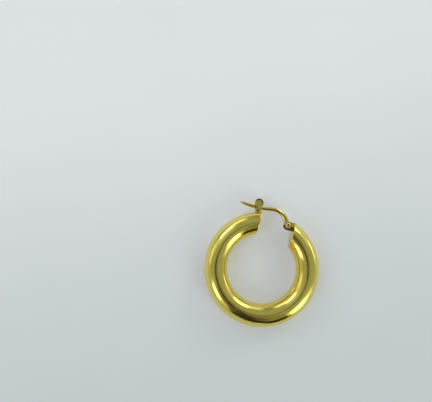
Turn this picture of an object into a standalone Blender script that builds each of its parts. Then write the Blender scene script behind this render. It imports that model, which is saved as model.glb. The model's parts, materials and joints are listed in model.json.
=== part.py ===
"""A hinged hoop earring of hollow round tube, lying on its side, in metres with +Z up.

The hoop's axis runs along +Z. The gap between the tube's ends points along +Y, with the hinge on its
+X side and the catch on its -X side. The origin is the bottom centre of the whole earring.
"""

import math

import bmesh
import bpy
from mathutils import Vector
from mathutils.geometry import interpolate_bezier

# Hoop
HOOP_DIAMETER = 0.0250
TUBE_DIAMETER = 0.0050
TUBE_WALL = 0.0003
CAP_THICKNESS = 0.0004
END_GAP = 0.00755
GAP_OFFSET = 0.00067
VENT_DIAMETER = 0.0005
VENT_INSET = 0.0013

# Ear wire
WIRE_DIAMETER = 0.0009
WIRE_ARCH = 0.00166
WIRE_TAIL = 0.0039
EYE_DIAMETER = 0.0016

# Hinge
HINGE_SETBACK = 0.00129
HINGE_DROP = 0.00110
CLEVIS_WIDTH = 0.0018
CLEVIS_WEB = 0.0001
CLEVIS_SINK = 0.0001
RIVET_DIAMETER = 0.0007
RIVET_HEAD_DIAMETER = 0.0013
RIVET_HEAD_HEIGHT = 0.00028

# Catch
CATCH_SETBACK = 0.00086
CATCH_HEIGHT = 0.00282
CATCH_STEM_WIDTH = 0.00120
CATCH_HEAD_WIDTH = 0.00185
CATCH_HEAD_DEPTH = 0.00150
CATCH_FLARE = 0.00065
CATCH_FLOOR = 0.0005
CATCH_SINK = 0.0004

# Ears of the catch and of the clevis, and clearances
EAR_THICKNESS = 0.0003
SIDE_CLEARANCE = 0.00005
BORE_CLEARANCE = 0.00005
HEAD_CLEARANCE = 0.00002
WIRE_CLEARANCE = 0.00010

# Columns: share of the way from hinge to catch, share of the arch's height above that straight way.
WIRE_ROUTE = (
    (0.00, 0.00),
    (0.12, 0.55),
    (0.23, 0.84),
    (0.37, 1.00),
    (0.51, 0.96),
    (0.63, 0.73),
    (0.76, 0.43),
    (0.87, 0.19),
    (1.00, 0.00),
)

# Columns: share of the tail's length past the catch, share of the tail's length outwards.
TAIL_ROUTE = (
    (0.22, -0.020),
    (0.46, -0.016),
    (0.71, 0.000),
    (1.00, 0.020),
)

# Columns: share of the wire's length, then its width in the hoop's plane and its height along the axis,
# as shares of its diameter.
WIRE_SECTIONS = (
    (0.000, 1.30, 0.93),
    (0.080, 1.22, 0.96),
    (0.200, 1.00, 1.00),
    (0.720, 1.00, 1.00),
    (0.840, 0.88, 0.86),
    (0.950, 0.66, 0.62),
    (1.000, 0.36, 0.40),
)

# Facets
TUBE_STEPS = 72
TUBE_SIDES = 24
HOLLOW_STEPS = 48
HOLLOW_SIDES = 16
WIRE_SPAN_STEPS = 4
WIRE_SIDES = 12
ROUND_SIDES = 32
PIN_SIDES = 16
HEAD_ARC_STEPS = 12
DOME_STEPS = 4
SMOOTH_ANGLE = math.radians(35)

# Places in the hoop's plane, measured from the ring's centre
TUBE_RADIUS = TUBE_DIAMETER / 2
OUTER_RADIUS = HOOP_DIAMETER / 2
RING_RADIUS = OUTER_RADIUS - TUBE_RADIUS
HINGE_FACE = END_GAP / 2 + GAP_OFFSET
CATCH_FACE = END_GAP / 2 - GAP_OFFSET
CORNER_OUT = math.sqrt(OUTER_RADIUS**2 - HINGE_FACE**2)
CORNER_IN = math.sqrt((RING_RADIUS - TUBE_RADIUS) ** 2 - HINGE_FACE**2)
HINGE = Vector((HINGE_FACE - HINGE_SETBACK, CORNER_OUT - HINGE_DROP, 0.0))
CATCH_ANGLE = math.asin((CATCH_FACE + CATCH_SETBACK) / OUTER_RADIUS)
CATCH_TOP = OUTER_RADIUS + CATCH_HEIGHT
HEAD_RADIUS = CATCH_HEAD_WIDTH / 2
HEAD_SIDEWAYS = HEAD_RADIUS - CATCH_STEM_WIDTH / 2
WIRE_REST = OUTER_RADIUS + CATCH_FLOOR + WIRE_CLEARANCE + WIRE_DIAMETER / 2

# Heights about the ring's plane
UPWARDS = Vector((0.0, 0.0, 1.0))
SLOT_HALF = WIRE_DIAMETER / 2 + SIDE_CLEARANCE
EARS_HALF = SLOT_HALF + EAR_THICKNESS

GOLD = (0.80, 0.62, 0.19, 1.0)
WIRE_GOLD = (0.72, 0.55, 0.20, 1.0)
RIVET_GOLD = (0.78, 0.56, 0.25, 1.0)


def clear_scene():
    """Remove every object of the scene."""
    for item in list(bpy.data.objects):
        bpy.data.objects.remove(item, do_unlink=True)


def metal(name, colour, roughness):
    """A polished metal of one colour."""
    made = bpy.data.materials.new(name)
    made.use_nodes = True
    shader = made.node_tree.nodes["Principled BSDF"]
    shader.inputs["Base Color"].default_value = colour
    shader.inputs["Metallic"].default_value = 1.0
    shader.inputs["Roughness"].default_value = roughness
    return made


def solid(name, bm, parent, finish=None):
    """Turn a bmesh into a closed, smooth-shaded object under its parent."""
    bmesh.ops.recalc_face_normals(bm, faces=bm.faces)
    mesh = bpy.data.meshes.new(name)
    bm.to_mesh(mesh)
    bm.free()
    mesh.shade_smooth()
    mesh.set_sharp_from_angle(angle=SMOOTH_ANGLE)
    made = bpy.data.objects.new(name, mesh)
    bpy.context.scene.collection.objects.link(made)
    made.parent = parent
    if finish:
        mesh.materials.append(finish)
    return made


def shape(target, tool, operation):
    """Join a tool shape to the target or cut it out, and keep the tool as a hidden guide."""
    tool.hide_render = True
    tool.display_type = "WIRE"
    step = target.modifiers.new(tool.name, "BOOLEAN")
    step.operation = operation
    step.solver = "EXACT"
    step.object = tool


def skin(bm, rings):
    """Join rings of vertices side to side, and close the first and the last with a face."""
    count = len(rings[0])
    for ring, following in zip(rings, rings[1:]):
        for side in range(count):
            after = (side + 1) % count
            bm.faces.new((ring[side], ring[after], following[after], following[side]))
    bm.faces.new(rings[0])
    bm.faces.new(rings[-1])


def bent_bar(name, section_radius, inset, steps, sides, parent, finish=None):
    """A round bar bent round the ring's axis, whose flat ends lie on two parallel planes.

    The planes lie an inset behind the tube's two end faces. The section is a polygon round the circle,
    with one flat at the bottom and one on each side.
    """
    corner = section_radius / math.cos(math.pi / sides)
    bm = bmesh.new()
    rings = []
    for step in range(steps + 1):
        ring = []
        for side in range(sides):
            around = 2 * math.pi * (side + 0.5) / sides
            reach = RING_RADIUS + corner * math.cos(around)
            start = math.asin((HINGE_FACE + inset) / reach)
            stop = 2 * math.pi - math.asin((CATCH_FACE + inset) / reach)
            turn = start + (stop - start) * step / steps
            point = (reach * math.sin(turn), reach * math.cos(turn), corner * math.sin(around))
            ring.append(bm.verts.new(point))
        rings.append(ring)
    skin(bm, rings)
    return solid(name, bm, parent, finish)


def prism(name, outline, half_height, parent):
    """An outline in the hoop's plane, extruded the same height above and below it."""
    bm = bmesh.new()
    base = bm.faces.new([bm.verts.new((x, y, -half_height)) for x, y in outline])
    grown = bmesh.ops.extrude_face_region(bm, geom=[base])["geom"]
    raised = [item for item in grown if isinstance(item, bmesh.types.BMVert)]
    bmesh.ops.translate(bm, verts=raised, vec=(0, 0, 2 * half_height))
    return solid(name, bm, parent)


def drill(name, diameter, length, parent):
    """A round rod along its own Z, centred on its origin."""
    bm = bmesh.new()
    radius = diameter / 2
    bmesh.ops.create_cone(
        bm, cap_ends=True, segments=PIN_SIDES, radius1=radius, radius2=radius, depth=length
    )
    return solid(name, bm, parent)


def rectangle(left, right, low, high):
    """The four corners of a rectangle."""
    return [(left, low), (right, low), (right, high), (left, high)]


def arc(centre_x, centre_y, radius, start, end, steps):
    """Points along an arc, from one angle to another."""
    angles = [start + (end - start) * step / steps for step in range(steps + 1)]
    return [(centre_x + radius * math.cos(a), centre_y + radius * math.sin(a)) for a in angles]


def catch_outline():
    """One ear of the catch: a stem on the tube, and a round head that leans out over the gap."""
    half_stem = CATCH_STEM_WIDTH / 2
    foot = OUTER_RADIUS - CATCH_SINK
    head_low = CATCH_TOP - CATCH_HEAD_DEPTH
    head = arc(HEAD_SIDEWAYS, CATCH_TOP - HEAD_RADIUS, HEAD_RADIUS, 0, math.pi, HEAD_ARC_STEPS)
    right_side = [
        (half_stem, foot),
        (half_stem, head_low - CATCH_FLARE),
        (HEAD_SIDEWAYS + HEAD_RADIUS, head_low),
    ]
    return right_side + head + [(-half_stem, foot)]


def make_catch(parent):
    """A two-eared catch, standing on the tube just before its -X end, whose slot takes the wire."""
    catch = prism("catch_shape", catch_outline(), EARS_HALF, parent)
    catch.rotation_euler.z = CATCH_ANGLE
    seat, along = wire_seat()
    reach = CATCH_HEAD_WIDTH + CATCH_STEM_WIDTH
    floor = -WIRE_DIAMETER / 2 - WIRE_CLEARANCE
    slot = prism("catch_slot", rectangle(-reach, reach, floor, 2 * CATCH_HEIGHT), SLOT_HALF, parent)
    slot.location = seat
    slot.rotation_euler.z = math.atan2(-along.y, -along.x)
    shape(catch, slot, "DIFFERENCE")
    return catch


def make_clevis(parent):
    """Two round ears on a web, standing on the +X cap, with a bore for the rivet."""
    half_width = CLEVIS_WIDTH / 2
    root = HINGE_SETBACK + CLEVIS_SINK
    nose = arc(0, 0, half_width, math.pi / 2, 3 * math.pi / 2, HEAD_ARC_STEPS)
    clevis = prism("clevis_shape", nose + [(root, -half_width), (root, half_width)], EARS_HALF, parent)
    web_face = HINGE_SETBACK - CLEVIS_WEB
    gap = rectangle(-CLEVIS_WIDTH, web_face, -CLEVIS_WIDTH, CLEVIS_WIDTH)
    slot = prism("clevis_slot", gap, SLOT_HALF, parent)
    bore = drill("clevis_bore", RIVET_DIAMETER + 2 * BORE_CLEARANCE, 4 * EARS_HALF, parent)
    for item in (clevis, slot, bore):
        item.location = HINGE
    shape(clevis, slot, "DIFFERENCE")
    shape(clevis, bore, "DIFFERENCE")
    return clevis


def make_vent(parent):
    """A pinhole through the +X cap, which lets air out of the hollow tube."""
    vent = drill("vent", VENT_DIAMETER, 2 * CAP_THICKNESS, parent)
    vent.location = (HINGE_FACE + CAP_THICKNESS / 2, CORNER_IN + VENT_INSET, 0)
    vent.rotation_euler.y = math.pi / 2
    return vent


def make_hoop(parent):
    """The soldered body: hollow capped tube, catch and clevis in one solid."""
    finish = metal("polished_gold", GOLD, 0.12)
    hoop = bent_bar("hoop", TUBE_RADIUS, 0.0, TUBE_STEPS, TUBE_SIDES, parent, finish)
    bore_radius = TUBE_RADIUS - TUBE_WALL
    hollow = bent_bar("tube_hollow", bore_radius, CAP_THICKNESS, HOLLOW_STEPS, HOLLOW_SIDES, parent)
    shape(hoop, make_catch(parent), "UNION")
    shape(hoop, make_clevis(parent), "UNION")
    shape(hoop, hollow, "DIFFERENCE")
    shape(hoop, make_vent(parent), "DIFFERENCE")


def wire_knots():
    """The wire's chosen points from the hinge over the gap, through the catch and along the tail."""
    outwards = Vector((-math.sin(CATCH_ANGLE), math.cos(CATCH_ANGLE), 0))
    seat = outwards * WIRE_REST
    way = seat - HINGE
    across = Vector((-way.y, way.x, 0)).normalized() * -WIRE_ARCH
    span = [HINGE + way * along + across * rise for along, rise in WIRE_ROUTE]
    tail = [seat + Vector((-along, rise, 0)) * WIRE_TAIL for along, rise in TAIL_ROUTE]
    return span + tail


def wire_seat():
    """The wire's middle where it lies in the catch, and its direction there, towards the tail."""
    knots = wire_knots()
    seat = len(WIRE_ROUTE) - 1
    return knots[seat], knots[seat + 1] - knots[seat - 1]


def smooth_through(knots, steps):
    """Points on a smooth curve through the knots."""
    ends = [2 * knots[0] - knots[1]] + knots + [2 * knots[-1] - knots[-2]]
    slopes = [(after - before) / 6 for before, after in zip(ends, ends[2:])]
    points = []
    for index in range(len(knots) - 1):
        start, end = knots[index], knots[index + 1]
        handles = (start + slopes[index], end - slopes[index + 1])
        points += interpolate_bezier(start, *handles, end, steps + 1)[:-1]
    return points + [knots[-1]]


def from_table(rows, share):
    """Read a table's columns at a share of its first column, straight between rows."""
    for before, after in zip(rows, rows[1:]):
        if share <= after[0]:
            mix = (share - before[0]) / (after[0] - before[0])
            return [low + (high - low) * mix for low, high in zip(before[1:], after[1:])]
    return rows[-1][1:]


def wire_sweep(bm, points):
    """Sweep the wire's oval section along points of the hoop's plane."""
    lengths = [0.0]
    for before, after in zip(points, points[1:]):
        lengths.append(lengths[-1] + (after - before).length)
    rings = []
    for index, point in enumerate(points):
        ahead = points[min(index + 1, len(points) - 1)] - points[max(index - 1, 0)]
        sideways = Vector((-ahead.y, ahead.x, 0)).normalized()
        width, height = from_table(WIRE_SECTIONS, lengths[index] / lengths[-1])
        ring = []
        for side in range(WIRE_SIDES):
            around = 2 * math.pi * side / WIRE_SIDES
            offset = sideways * math.cos(around) * width + UPWARDS * math.sin(around) * height
            ring.append(bm.verts.new(point - HINGE + offset * WIRE_DIAMETER / 2))
        rings.append(ring)
    skin(bm, rings)


def make_ear_wire(parent):
    """The wire with its flattened eye, whose origin lies on the hinge's axis."""
    bm = bmesh.new()
    wire_sweep(bm, smooth_through(wire_knots(), WIRE_SPAN_STEPS))
    wire = solid("ear_wire", bm, parent, metal("wire_gold", WIRE_GOLD, 0.2))
    wire.location = HINGE
    circle = arc(0, 0, EYE_DIAMETER / 2, 0, 2 * math.pi, ROUND_SIDES)[:-1]
    eye = prism("eye_disc", circle, WIRE_DIAMETER / 2, wire)
    bore = drill("eye_bore", RIVET_DIAMETER + 2 * BORE_CLEARANCE, 2 * WIRE_DIAMETER, wire)
    shape(wire, eye, "UNION")
    shape(wire, bore, "DIFFERENCE")


def make_rivet(parent):
    """A pin with a domed head at each end, turned round the hinge's axis."""
    seat = EARS_HALF + HEAD_CLEARANCE
    head_radius = RIVET_HEAD_DIAMETER / 2
    upper = [(RIVET_DIAMETER / 2, seat), (head_radius, seat)]
    for step in range(1, DOME_STEPS + 1):
        lean = step * math.pi / 2 / DOME_STEPS
        upper.append((head_radius * math.cos(lean), seat + RIVET_HEAD_HEIGHT * math.sin(lean)))
    lower = [(radius, -height) for radius, height in reversed(upper)]
    profile = lower + upper
    bm = bmesh.new()
    points = [bm.verts.new((radius, 0, height)) for radius, height in profile]
    for before, after in zip(points, points[1:]):
        bm.edges.new((before, after))
    turned = list(bm.verts) + list(bm.edges)
    bmesh.ops.spin(bm, geom=turned, axis=(0, 0, 1), cent=(0, 0, 0), angle=2 * math.pi, steps=PIN_SIDES)
    bmesh.ops.remove_doubles(bm, verts=bm.verts, dist=1e-6)
    rivet = solid("hinge_rivet", bm, parent, metal("rivet_gold", RIVET_GOLD, 0.2))
    rivet.location = HINGE


def make_frame():
    """The ring's centre, placed so that the earring's bottom centre is the world's origin."""
    head_centre = CATCH_TOP - HEAD_RADIUS
    highest = head_centre * math.cos(CATCH_ANGLE) + HEAD_SIDEWAYS * math.sin(CATCH_ANGLE) + HEAD_RADIUS
    frame = bpy.data.objects.new("ring_centre", None)
    bpy.context.scene.collection.objects.link(frame)
    frame.location = (0, (OUTER_RADIUS - highest) / 2, TUBE_RADIUS)
    return frame


def main():
    clear_scene()
    frame = make_frame()
    make_hoop(frame)
    make_ear_wire(frame)
    make_rivet(frame)


main()
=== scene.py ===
"""Looks of a hinged hoop earring of polished yellow gold, lying on its side on a pale table top.

Sizes are in millimetres, measured from the ring's centre at half the tube's height, with +Y out
through the gap between the tube's ends. Each finished mesh is turned into metres and moved to the
frame's place.
"""

import json
import logging
import math
from collections.abc import Callable, Iterable, Iterator, Mapping, Sequence
from dataclasses import dataclass, field
from enum import Enum
from typing import Any

import bmesh
import bpy
import numpy as np
from mathutils import Matrix, Vector


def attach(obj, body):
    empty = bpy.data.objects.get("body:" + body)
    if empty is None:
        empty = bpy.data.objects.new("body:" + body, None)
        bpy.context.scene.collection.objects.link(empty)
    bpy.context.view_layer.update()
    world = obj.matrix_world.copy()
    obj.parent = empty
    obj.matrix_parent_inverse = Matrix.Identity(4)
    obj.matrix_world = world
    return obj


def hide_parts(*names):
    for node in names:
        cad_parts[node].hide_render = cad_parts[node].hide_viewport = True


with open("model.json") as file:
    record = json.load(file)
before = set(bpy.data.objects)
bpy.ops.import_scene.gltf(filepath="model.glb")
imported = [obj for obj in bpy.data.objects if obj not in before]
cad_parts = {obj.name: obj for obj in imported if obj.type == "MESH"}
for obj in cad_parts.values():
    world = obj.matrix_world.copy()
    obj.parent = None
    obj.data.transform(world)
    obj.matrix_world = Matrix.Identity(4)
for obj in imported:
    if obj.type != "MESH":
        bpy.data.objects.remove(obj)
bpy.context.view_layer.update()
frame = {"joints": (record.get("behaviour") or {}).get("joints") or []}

log = logging.getLogger("hoop_earring")

METRES = 0.001
PHOTO_TURN = math.radians(15.5)
FILLET_STEPS = 6
FILLET_EDGE = 0.01

Ring = list[Vector]
Pair = tuple[float, float]
Triple = tuple[float, float, float]
Quad = tuple[float, float, float, float]
Colour = Triple


class Body(Enum):
    """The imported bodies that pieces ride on."""

    HOOP = "hoop"
    EAR_WIRE = "ear_wire"


class Slot(Enum):
    """The record's material slots."""

    HOOP = "polished_gold"
    WIRE = "wire_gold"
    RIVET = "rivet_gold"


# Shader graphs


class Signal:
    """A socket that takes part in sums and products as a number does."""

    def __init__(self, graph: "Graph", socket: bpy.types.NodeSocket) -> None:
        """Keep a socket and the graph that it belongs to."""
        self.graph = graph
        self.socket = socket

    def math(self, operation: str, *terms: "Signal | float") -> "Signal":
        """Add a Math node.

        Args:
            operation: Name of the Math node's operation.
            terms: All operands in order.

        Returns:
            The node's result.
        """
        values = dict(enumerate(terms))
        node = self.graph.node("ShaderNodeMath", {"operation": operation}, values)
        return Signal(self.graph, node.outputs[0])

    def __add__(self, other: "Signal | float") -> "Signal":
        """Sum."""
        return self.math("ADD", self, other)

    __radd__ = __add__

    def __sub__(self, other: "Signal | float") -> "Signal":
        """Difference."""
        return self.math("SUBTRACT", self, other)

    def __rsub__(self, other: float) -> "Signal":
        """Difference from a number."""
        return self.math("SUBTRACT", other, self)

    def __mul__(self, other: "Signal | float") -> "Signal":
        """Product."""
        return self.math("MULTIPLY", self, other)

    __rmul__ = __mul__

    def __pow__(self, other: float) -> "Signal":
        """Power."""
        return self.math("POWER", self, other)

    def __abs__(self) -> "Signal":
        """Size without its sign."""
        return self.math("ABSOLUTE", self)

    def at_most(self, ceiling: float) -> "Signal":
        """The smaller of this and a number."""
        return self.math("MINIMUM", self, ceiling)

    def step(self, low: float, high: float) -> "Signal":
        """Ease from 0 at low to 1 at high.

        Args:
            low: Value at which the result is 0.
            high: Value at which the result is 1. It may be below low.

        Returns:
            The eased value.
        """
        ends = {"Value": self, "From Min": low, "From Max": high}
        ease = self.graph.node("ShaderNodeMapRange", {"interpolation_type": "SMOOTHSTEP"}, ends)
        return Signal(self.graph, ease.outputs[0])


class Graph:
    """The nodes of one material or world."""

    def __init__(self, tree: bpy.types.NodeTree) -> None:
        """Start from an empty tree."""
        self.tree = tree
        tree.nodes.clear()

    def node(
        self,
        kind: str,
        settings: Mapping[str, Any] | None = None,
        inputs: Mapping[str | int, Any] | None = None,
    ) -> bpy.types.Node:
        """Add a node.

        Args:
            kind: Blender's name of the node's type.
            settings: Properties to set first.
            inputs: Numbers, colours, sockets or signals by socket name or index.

        Returns:
            The new node.
        """
        made = self.tree.nodes.new(kind)
        for name, value in (settings or {}).items():
            setattr(made, name, value)
        for key, value in (inputs or {}).items():
            source = value.socket if isinstance(value, Signal) else value
            if isinstance(source, bpy.types.NodeSocket):
                self.tree.links.new(source, made.inputs[key])
            else:
                made.inputs[key].default_value = source
        return made

    def vector(self, operation: str, *terms: Any) -> bpy.types.NodeSocket:
        """A Vector Math node's vector result."""
        settings = {"operation": operation}
        return self.node("ShaderNodeVectorMath", settings, dict(enumerate(terms))).outputs[0]

    def dot(self, first: Any, second: Any) -> Signal:
        """The dot product of two vectors."""
        settings = {"operation": "DOT_PRODUCT"}
        made = self.node("ShaderNodeVectorMath", settings, {0: first, 1: second})
        return Signal(self, made.outputs["Value"])

    def mix(self, share: Signal, first: Any, second: Any) -> bpy.types.NodeSocket:
        """Blend two colours.

        Args:
            share: Share of the second colour.
            first: Colour or socket where the share is 0.
            second: Colour or socket where the share is 1.

        Returns:
            The blended colour.
        """
        colours = {0: share, 6: opaque(first), 7: opaque(second)}
        settings = {"data_type": "RGBA", "clamp_result": False}
        return self.node("ShaderNodeMix", settings, colours).outputs[2]

    def noise(
        self, place: Any, scale: float, detail: float = 2.0, roughness: float = 0.5
    ) -> Signal:
        """Cloudy noise.

        Args:
            place: Coordinates.
            scale: Lumps for each unit of the coordinates.
            detail: Number of finer layers.
            roughness: Strength of the finer layers.

        Returns:
            Noise from 0 to 1.
        """
        values = {"Vector": place, "Scale": scale, "Detail": detail, "Roughness": roughness}
        return Signal(self, self.node("ShaderNodeTexNoise", None, values).outputs[0])

    def painted(self, name: str) -> Signal:
        """A number painted on the mesh's points."""
        paint = self.node("ShaderNodeAttribute", {"attribute_name": name})
        return Signal(self, paint.outputs["Fac"])

    def millimetres(self) -> bpy.types.NodeSocket:
        """Object coordinates in millimetres."""
        place = self.node("ShaderNodeTexCoord").outputs["Object"]
        return self.vector("MULTIPLY", place, (1 / METRES,) * 3)

    def surface(self, inputs: Mapping[str, Any]) -> None:
        """End the graph in a Principled shader that takes these inputs."""
        shader = self.node("ShaderNodeBsdfPrincipled", None, inputs)
        self.node("ShaderNodeOutputMaterial", None, {"Surface": shader.outputs[0]})


def opaque(colour: Any) -> Any:
    """Give a colour of three numbers a full alpha, and pass sockets through."""
    if isinstance(colour, tuple) and len(colour) == 3:
        return (*colour, 1.0)
    return colour


def blank_material(name: str) -> tuple[bpy.types.Material, Graph]:
    """A new material, and the empty graph of its nodes."""
    material = bpy.data.materials.new(name)
    material.use_nodes = True
    return material, Graph(material.node_tree)


@dataclass(frozen=True)
class Cloud:
    """Noise that is cut to a mask with soft edges."""

    lumps: float
    detail: float
    low: float
    high: float
    roughness: float = 0.5

    def mask(self, graph: Graph, place: Any) -> Signal:
        """The mask, from 0 to 1."""
        return graph.noise(place, self.lumps, self.detail, self.roughness).step(self.low, self.high)


@dataclass(frozen=True)
class HeatTintAndReflection:
    """An orange bloom round a point of the frame, in millimetres: real heat tint from soldering,
    and also painted reflection.
    """

    centre: Triple
    radius: float
    core: float
    strength: float

    def mask(self, graph: Graph, place: Any) -> Signal:
        """Where the bloom shows.

        Args:
            graph: Graph to add to.
            place: Coordinates in millimetres.

        Returns:
            The share of tinted metal.
        """
        offset = graph.vector("SUBTRACT", place, self.centre)
        distance = graph.dot(offset, offset) ** 0.5
        return distance.step(self.radius, self.core) * self.strength


@dataclass(frozen=True)
class BuffedMetal:
    """Buffed gold-coloured metal with hairline scratches, darkened by real staining in its seams
    and by painted shade in recesses and between parts.
    """

    name: str
    colour: Colour
    deep_colour: Colour
    tints: tuple[HeatTintAndReflection, ...] = ()
    tint_colour: Colour = (0.86, 0.46, 0.030)
    stain_and_shade: Colour = (0.095, 0.052, 0.015)
    gloss: float = 0.11
    smear_dullness: float = 0.06
    hairline_dullness: float = 0.12
    stain_and_shade_dullness: float = 0.14
    mottle_share: float = 0.6
    mottle: Cloud = Cloud(0.55, 3.0, 0.35, 0.75)
    smear: Cloud = Cloud(0.9, 4.0, 0.42, 0.68, 0.6)
    pits: Cloud = Cloud(9.0, 2.0, 0.60, 0.72)
    pit_share: float = 0.10
    pit_depth: float = 0.006
    scratches: tuple[tuple[Triple, float], ...] = (
        ((0.3, 0.2, 0.6), 0.0035),
        ((0.1, 0.5, 2.0), 0.0030),
        ((0.7, 0.1, 1.3), 0.0025),
    )
    scratch_stretch: Triple = (0.22, 7.0, 7.0)
    scratch_gaps: Cloud = Cloud(0.37, 1.0, 0.47, 0.60)
    scratch_depth: float = 0.0006
    ripple_depth: float = 0.0030
    ripple_size: float = 1.9
    grain_lumps: float = 26.0
    grain_depth: float = 0.00045

    def hairline(self, graph: Graph, place: Any, turn: Triple, width: float) -> Signal:
        """Thin straight scratches along one direction.

        Args:
            graph: Graph to add to.
            place: Coordinates in millimetres.
            turn: Rotation of the scratches' direction.
            width: Share of the noise that shows as scratches.

        Returns:
            A mask of the scratches.
        """
        stretch = {"Vector": place, "Rotation": turn, "Scale": self.scratch_stretch}
        stretched = graph.node("ShaderNodeMapping", None, stretch).outputs[0]
        streak = graph.noise(stretched, 1.0, 0.0)
        return abs(streak - 0.5).step(width, 0.0) * self.scratch_gaps.mask(graph, stretched)

    def build(self) -> bpy.types.Material:
        """Make the material.

        Returns:
            The finished material.
        """
        material, graph = blank_material(self.name)
        place = graph.millimetres()
        # The painted seam value darkens the metal: real staining at joints, and painted shade in
        # recesses, slots and between parts.
        stain_and_shade = graph.painted("seam")
        pits = self.pits.mask(graph, place)
        lines = [self.hairline(graph, place, turn, width) for turn, width in self.scratches]
        scratched = sum(lines[1:], lines[0]).at_most(1.0)
        mottled = self.mottle.mask(graph, place) * self.mottle_share
        colour = graph.mix(mottled, self.colour, self.deep_colour)
        # Orange blooms: real heat tint by the catch's solder, and painted reflection near the
        # tube's hinge end.
        for tint in self.tints:
            colour = graph.mix(tint.mask(graph, place), colour, self.tint_colour)
        dark = stain_and_shade * (1 - self.pit_share + pits * self.pit_share)
        rough = (
            self.gloss
            + self.smear.mask(graph, place) * self.smear_dullness
            + scratched * self.hairline_dullness
            + stain_and_shade * self.stain_and_shade_dullness
        )
        relief = (
            graph.noise(place, 1 / self.ripple_size, 1.0) * (self.ripple_depth * METRES)
            + graph.noise(place, self.grain_lumps, 2.0) * (self.grain_depth * METRES)
            - scratched * (self.scratch_depth * METRES)
            - stain_and_shade * pits * (self.pit_depth * METRES)
        )
        raised = {"Strength": 1.0, "Distance": 1.0, "Height": relief}
        graph.surface(
            {
                "Base Color": graph.mix(dark, colour, self.stain_and_shade),
                "Metallic": 1.0,
                "Roughness": rough,
                "Normal": graph.node("ShaderNodeBump", None, raised).outputs[0],
            }
        )
        return material


@dataclass(frozen=True)
class VentShade:
    """Painted shade: a dull dark finish down in the vent, where shade falls."""

    name: str = "vent_painted_shade"
    colour: Colour = (0.035, 0.022, 0.010)
    blotch_colour: Colour = (0.077, 0.0484, 0.022)
    blotch_lumps: float = 8.0

    def build(self) -> bpy.types.Material:
        """Make the material.

        Returns:
            The finished material.
        """
        material, graph = blank_material(self.name)
        blotch = graph.noise(graph.millimetres(), self.blotch_lumps, 3.0)
        colour = graph.mix(blotch.step(0.4, 0.7), self.colour, self.blotch_colour)
        graph.surface({"Base Color": colour, "Roughness": 0.55 + blotch * 0.4, "Metallic": 0.3})
        return material


# Meshes in millimetres


def turns(count: int) -> Iterator[float]:
    """Angles of evenly spaced points round a circle."""
    return (2 * math.pi * index / count for index in range(count))


def squared_ring(half_width: float, half_height: float, count: int = 64) -> Iterator[Pair]:
    """Points round the edge of a rectangle.

    Args:
        half_width: Half the rectangle's width.
        half_height: Half the rectangle's height.
        count: Number of points.

    Yields:
        Place across the rectangle and height.
    """
    for way in turns(count):
        side = max(abs(math.cos(way)) / half_width, abs(math.sin(way)) / half_height)
        yield math.cos(way) / side, math.sin(way) / side


def fillet_rows(radius: float, sink: float) -> list[Pair]:
    """The hollow of a solder fillet from its thin upper edge to its foot, which is sunk in.

    Args:
        radius: The fillet's radius.
        sink: How far its foot reaches into what it stands on.

    Returns:
        Rows of how far it stands out and how far down it lies.
    """
    rows = []
    for step in range(FILLET_STEPS + 1):
        lean = step * math.pi / (2 * FILLET_STEPS)
        rows.append((radius * (1 - math.cos(lean)) + FILLET_EDGE, radius * math.sin(lean)))
    return [*rows, (rows[-1][0], radius + sink)]


def away(places: np.ndarray, x: float, y: float) -> np.ndarray:
    """Distance of rows of x, y and z from an upright line."""
    return np.hypot(places[:, 0] - x, places[:, 1] - y)


def fading(distance: Any, reach: float, power: float = 2) -> Any:
    """1 at no distance, and little beyond the reach."""
    return np.exp(-((distance / reach) ** power))


def ramp(values: np.ndarray, start: float, width: float) -> np.ndarray:
    """Rise evenly from 0 at the start to 1 a width further."""
    return np.clip((values - start) / width, 0, 1)


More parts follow.
